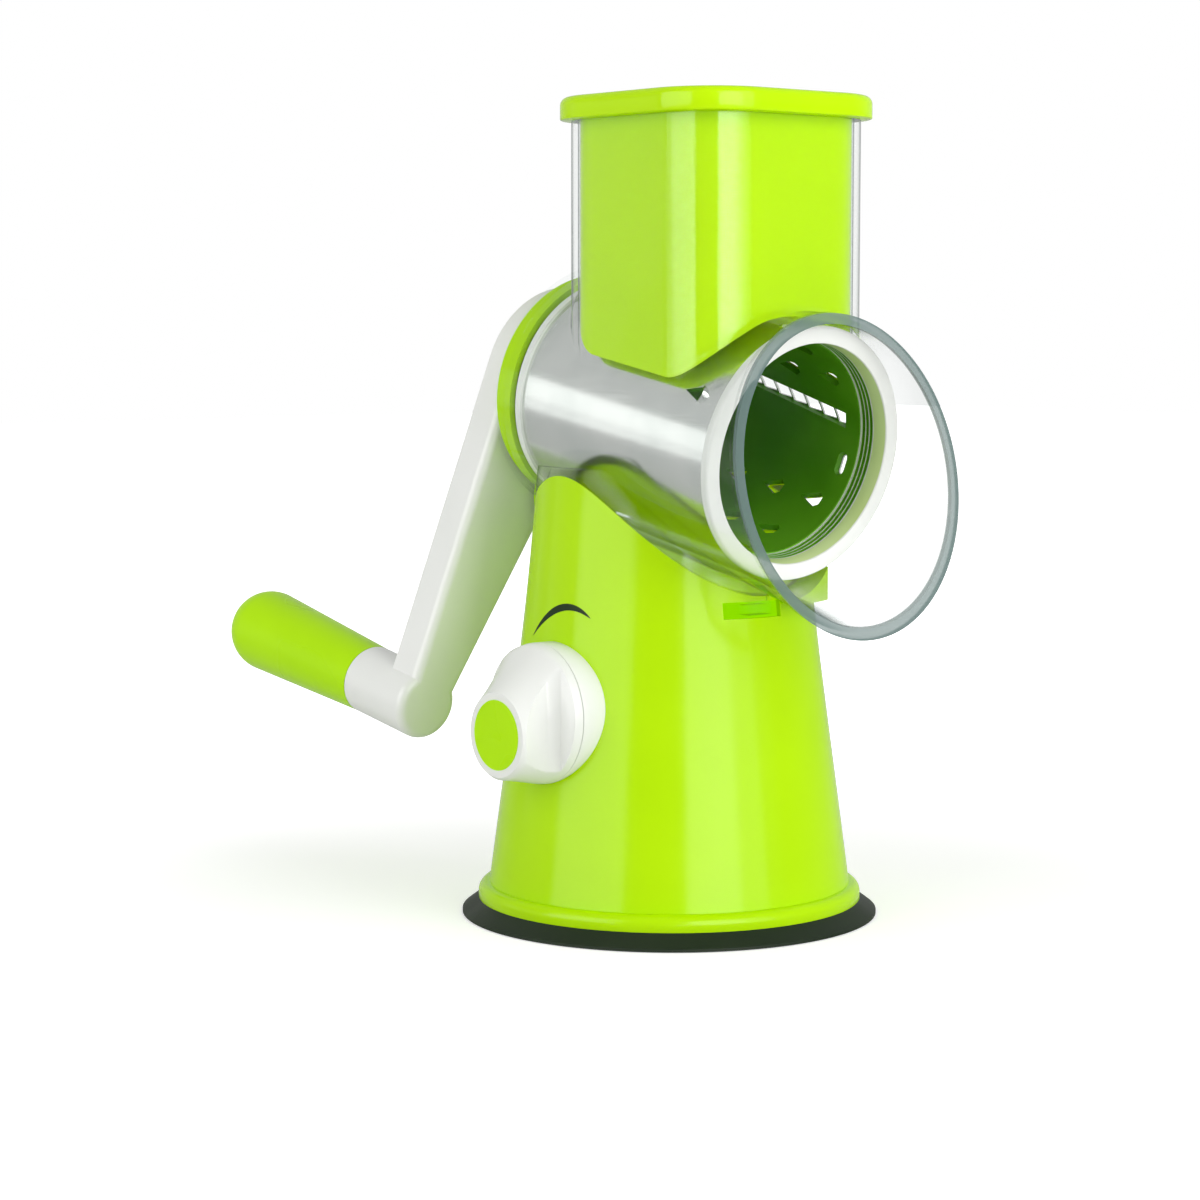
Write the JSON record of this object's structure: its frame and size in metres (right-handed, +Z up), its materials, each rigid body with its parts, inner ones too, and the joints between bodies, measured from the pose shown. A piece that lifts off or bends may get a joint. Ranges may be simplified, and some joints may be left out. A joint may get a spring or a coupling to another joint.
{
  "type": "rotary vegetable cutter",
  "caption": "Hand cranked rotary vegetable cutter: tapered suction-foot stand, clear barrel with hopper and pusher, toothed cutting drum, rear crank and side lock knob.",
  "frame": {"origin": "centre of the foot's underside, on the table", "axes": "+Z up, -Y towards the outlet, +Y towards the crank, -X towards the lock knob; the drum axis leaves -Y and rises 10.5 degrees towards +Y"},
  "size_m": [0.1336, 0.2547, 0.2517],
  "materials": {
    "lime_plastic": "gloss",
    "white_plastic": "gloss",
    "clear_plastic": "clear",
    "green_liner": "satin",
    "sheet_steel": "polished",
    "turned_steel": "satin",
    "nylon": "matte",
    "black_rubber": "matte"
  },
  "bodies": {
    "stand": {"tower": "lime_plastic", "base_plate": "lime_plastic", "base_screws": "turned_steel", "suction_pad": "black_rubber", "shaft_bush": "nylon", "knob_bezel": "white_plastic"},
    "lift": {"pull_rod": "nylon", "pad_stud": "turned_steel", "rod_pin": "turned_steel"},
    "lock": {"knob": "white_plastic", "knob_inset": "lime_plastic", "cam_shaft": "turned_steel", "cam": "nylon", "knob_screw": "turned_steel", "shaft_clip": "turned_steel"},
    "housing": {"drum_housing": "clear_plastic"},
    "pusher": {"pusher_body": "lime_plastic", "pusher_cap": "lime_plastic"},
    "crank": {"crank_arm": "white_plastic", "drive_shaft": "turned_steel", "crank_screw": "turned_steel", "hub_cap": "white_plastic", "grip_axle": "turned_steel", "grip_washer": "turned_steel"},
    "grip": {"grip": "lime_plastic"},
    "drum": {"drum_ring": "white_plastic", "drum_blade": "sheet_steel", "drum_core": "green_liner", "drum_back": "white_plastic", "drive_socket": "turned_steel", "drum_screws": "turned_steel"}
  },
  "joints": [
    {"name": "crank_turn", "type": "hinge", "parent": "stand", "child": "crank", "pos_m": [0, 0, 0.1564], "axis": [0, 0.9833, 0.1822], "continuous": true},
    {"name": "drum_pull", "type": "slide", "parent": "crank", "child": "drum", "axis": [0, -0.9833, -0.1822], "range_m": [0, 0.12]},
    {"name": "grip_spin", "type": "hinge", "parent": "crank", "child": "grip", "pos_m": [-0.048, 0.11733, 0.07207], "axis": [0, 0.9833, 0.1822], "continuous": true},
    {"name": "housing_slide", "type": "slide", "parent": "stand", "child": "housing", "axis": [0, -0.9833, -0.1822], "range_m": [0, 0.025]},
    {"name": "pusher_slide", "type": "slide", "parent": "housing", "child": "pusher", "axis": [0, 0, 1], "range_m": [0, 0.09]},
    {"name": "knob_turn", "type": "hinge", "parent": "stand", "child": "lock", "pos_m": [0, 0, 0.0665], "axis": [1, 0, 0], "range_deg": [0, 90]},
    {"name": "suction_lift", "type": "slide", "parent": "stand", "child": "lift", "axis": [0, 0, 1], "range_m": [0, 0.004], "deforming": ["suction_pad"]}
  ],
  "couplings": [
    {"joint": "suction_lift", "follows": "knob_turn", "m_per_rad": 0.002546}
  ]
}
